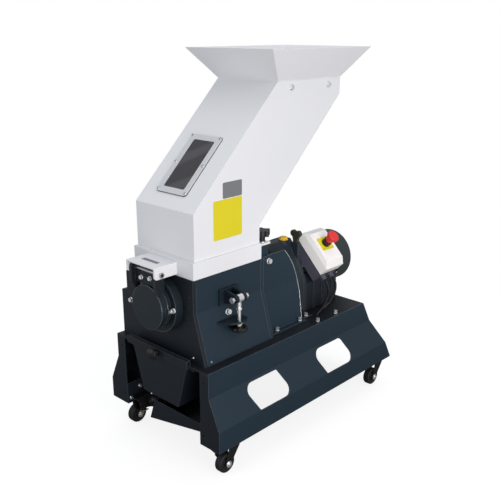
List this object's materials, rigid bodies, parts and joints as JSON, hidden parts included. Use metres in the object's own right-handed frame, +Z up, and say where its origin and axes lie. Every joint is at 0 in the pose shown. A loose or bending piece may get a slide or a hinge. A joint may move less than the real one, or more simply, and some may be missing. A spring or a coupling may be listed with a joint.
{
  "type": "plastic_granulator",
  "caption": "Beside-the-press plastic granulator: tilting slanted feed hopper over a claw rotor chamber, gear motor behind, drawer bin and suction outlet below, on a folded base with castors",
  "frame": {"origin": "centre of the bounding box, on the floor under the castors", "axes": "+X to the right seen from the bin end, +Y to the motor end, +Z up"},
  "size_m": [0.485, 0.91, 1.1686],
  "materials": {
    "dark_powder_coat": "textured slate blue-grey powder coat",
    "front_powder_coat": "textured near-black blue powder coat",
    "white_powder_coat": "smooth cool white powder coat",
    "cast_case": "painted casting, slightly rough",
    "fan_cover_paint": "pressed sheet, dark green-grey paint",
    "bright_zinc": "bright zinc plated steel",
    "yellow_zinc": "yellow passivated zinc",
    "machined_steel": "ground tool steel",
    "black_plastic": "satin black moulding",
    "wheel_rubber": "black castor tread",
    "sight_frame_aluminium": "brushed aluminium frame",
    "smoked_pane": "smoked clear sheet",
    "dark_plastic": "textured dark grey moulding",
    "white_plastic": "smooth white moulding",
    "yellow_plate": "plain yellow plate",
    "red_plastic": "red moulding",
    "amber_plug": "yellow-orange filler plug",
    "cable_rubber": "black cable sheath"
  },
  "bodies": {
    "base": {"base_deck": "dark_powder_coat", "skirt_left": "dark_powder_coat", "skirt_right": "dark_powder_coat", "rear_panel": "dark_powder_coat", "suction_box": "front_powder_coat", "suction_elbow": "black_plastic", "castor_plates": "bright_zinc", "front_plate": "front_powder_coat", "rear_plate": "dark_powder_coat", "side_wall_right": "dark_powder_coat", "side_wall_left": "dark_powder_coat", "fixed_knives": "machined_steel", "chamber_bearings": "machined_steel", "bearing_housing": "front_powder_coat", "bearing_cap": "front_powder_coat", "drive_guards": "dark_powder_coat", "gear_case": "cast_case", "oil_plug": "amber_plug", "motor_housing": "cast_case", "fan_cover": "fan_cover_paint", "lifting_lug": "black_plastic", "hinge_bracket": "front_powder_coat", "hinge_pin": "bright_zinc", "clamp_bracket": "dark_powder_coat", "control_box": "dark_plastic", "control_lid": "white_plastic", "stop_collar": "yellow_plate", "control_cables": "cable_rubber", "deck_bolts": "bright_zinc", "housing_bolts": "bright_zinc"},
    "bin": {"bin_shell": "front_powder_coat", "bin_knob": "black_plastic"},
    "rotor": {"rotor_shaft": "machined_steel", "claw_rotor": "machined_steel", "output_gear": "machined_steel"},
    "idler": {"idler_gear": "machined_steel"},
    "motor_rotor": {"motor_shaft": "machined_steel", "motor_fan": "black_plastic"},
    "hopper": {"hopper_chute": "white_powder_coat", "hopper_collar": "white_powder_coat", "hopper_funnel": "white_powder_coat", "sight_frame": "sight_frame_aluminium", "sight_pane": "smoked_pane", "hinge_hood": "white_powder_coat"},
    "lock_left": {"lock_knob_left": "black_plastic"},
    "lock_right": {"lock_knob_right": "black_plastic"},
    "swing_bolt_body": {"swing_bolt": "bright_zinc"},
    "clamp_knob_body": {"clamp_knob": "black_plastic"},
    "stop_stem_body": {"stop_stem": "red_plastic"},
    "stop_head_body": {"stop_head": "red_plastic"},
    "fork_fl": {"castor_fork_fl": "black_plastic"},
    "wheel_fl": {"castor_wheel_fl": "wheel_rubber"},
    "fork_fr": {"castor_fork_fr": "black_plastic"},
    "wheel_fr": {"castor_wheel_fr": "wheel_rubber"},
    "fork_rl": {"castor_fork_rl": "black_plastic"},
    "wheel_rl": {"castor_wheel_rl": "wheel_rubber"},
    "fork_rr": {"castor_fork_rr": "black_plastic"},
    "wheel_rr": {"castor_wheel_rr": "wheel_rubber"},
    "pedal_fl": {"brake_pedal_fl": "yellow_zinc"},
    "pedal_fr": {"brake_pedal_fr": "yellow_zinc"}
  },
  "joints": [
    {"name": "hopper_tilt", "type": "hinge", "parent": "base", "child": "hopper", "pos_m": [0, -0.432, 0.5874], "axis": [1, 0, 0], "range_deg": [0, 75]},
    {"name": "lock_turn_left", "type": "hinge", "parent": "hopper", "child": "lock_left", "pos_m": [-0.105, -0.08, 0.64], "axis": [0, 0, 1], "continuous": true},
    {"name": "lock_turn_right", "type": "hinge", "parent": "hopper", "child": "lock_right", "pos_m": [0.105, -0.08, 0.64], "axis": [0, 0, 1], "continuous": true},
    {"name": "bin_slide", "type": "slide", "parent": "base", "child": "bin", "axis": [0, -1, 0], "range_m": [0, 0.28]},
    {"name": "rotor_spin", "type": "hinge", "parent": "base", "child": "rotor", "pos_m": [0, -0.2355, 0.48], "axis": [0, 1, 0], "continuous": true},
    {"name": "idler_spin", "type": "hinge", "parent": "base", "child": "idler", "pos_m": [-0.0608, 0, 0.4387], "axis": [0, 1, 0], "continuous": true},
    {"name": "motor_spin", "type": "hinge", "parent": "base", "child": "motor_rotor", "pos_m": [0, 0.24, 0.446], "axis": [0, 1, 0], "continuous": true},
    {"name": "clamp_swing", "type": "hinge", "parent": "base", "child": "swing_bolt_body", "pos_m": [0.172, -0.246, 0.5], "axis": [0, -1, 0], "range_deg": [0, 110]},
    {"name": "clamp_knob_turn", "type": "hinge", "parent": "swing_bolt_body", "child": "clamp_knob_body", "pos_m": [0.172, -0.246, 0.405], "axis": [0, 0, 1], "continuous": true},
    {"name": "stop_push", "type": "slide", "parent": "base", "child": "stop_stem_body", "axis": [-0.7193, 0, -0.6947], "range_m": [0, 0.005]},
    {"name": "stop_twist", "type": "hinge", "parent": "stop_stem_body", "child": "stop_head_body", "pos_m": [0.15649, 0.197, 0.57905], "axis": [0.7193, 0, 0.6947], "range_deg": [0, 30], "stiffness_Nm_per_rad": 0.02},
    {"name": "swivel_fl", "type": "hinge", "parent": "base", "child": "fork_fl", "pos_m": [-0.202, -0.313, 0.09], "axis": [0, 0, 1], "continuous": true},
    {"name": "roll_fl", "type": "hinge", "parent": "fork_fl", "child": "wheel_fl", "pos_m": [-0.202, -0.34, 0.03], "axis": [1, 0, 0], "continuous": true},
    {"name": "swivel_fr", "type": "hinge", "parent": "base", "child": "fork_fr", "pos_m": [0.202, -0.313, 0.09], "axis": [0, 0, 1], "continuous": true},
    {"name": "roll_fr", "type": "hinge", "parent": "fork_fr", "child": "wheel_fr", "pos_m": [0.202, -0.34, 0.03], "axis": [1, 0, 0], "continuous": true},
    {"name": "swivel_rl", "type": "hinge", "parent": "base", "child": "fork_rl", "pos_m": [-0.202, 0.423, 0.09], "axis": [0, 0, 1], "continuous": true},
    {"name": "roll_rl", "type": "hinge", "parent": "fork_rl", "child": "wheel_rl", "pos_m": [-0.202, 0.396, 0.03], "axis": [1, 0, 0], "continuous": true},
    {"name": "swivel_rr", "type": "hinge", "parent": "base", "child": "fork_rr", "pos_m": [0.202, 0.423, 0.09], "axis": [0, 0, 1], "continuous": true},
    {"name": "roll_rr", "type": "hinge", "parent": "fork_rr", "child": "wheel_rr", "pos_m": [0.202, 0.396, 0.03], "axis": [1, 0, 0], "continuous": true},
    {"name": "brake_fl", "type": "hinge", "parent": "fork_fl", "child": "pedal_fl", "pos_m": [-0.18, -0.34, 0.05], "axis": [0, 1, 0], "range_deg": [0, 12]},
    {"name": "brake_fr", "type": "hinge", "parent": "fork_fr", "child": "pedal_fr", "pos_m": [0.18, -0.34, 0.05], "axis": [0, -1, 0], "range_deg": [0, 12]}
  ],
  "couplings": [
    {"joint": "idler_spin", "follows": "rotor_spin", "ratio": -2.5},
    {"joint": "motor_spin", "follows": "rotor_spin", "ratio": 6.25}
  ]
}
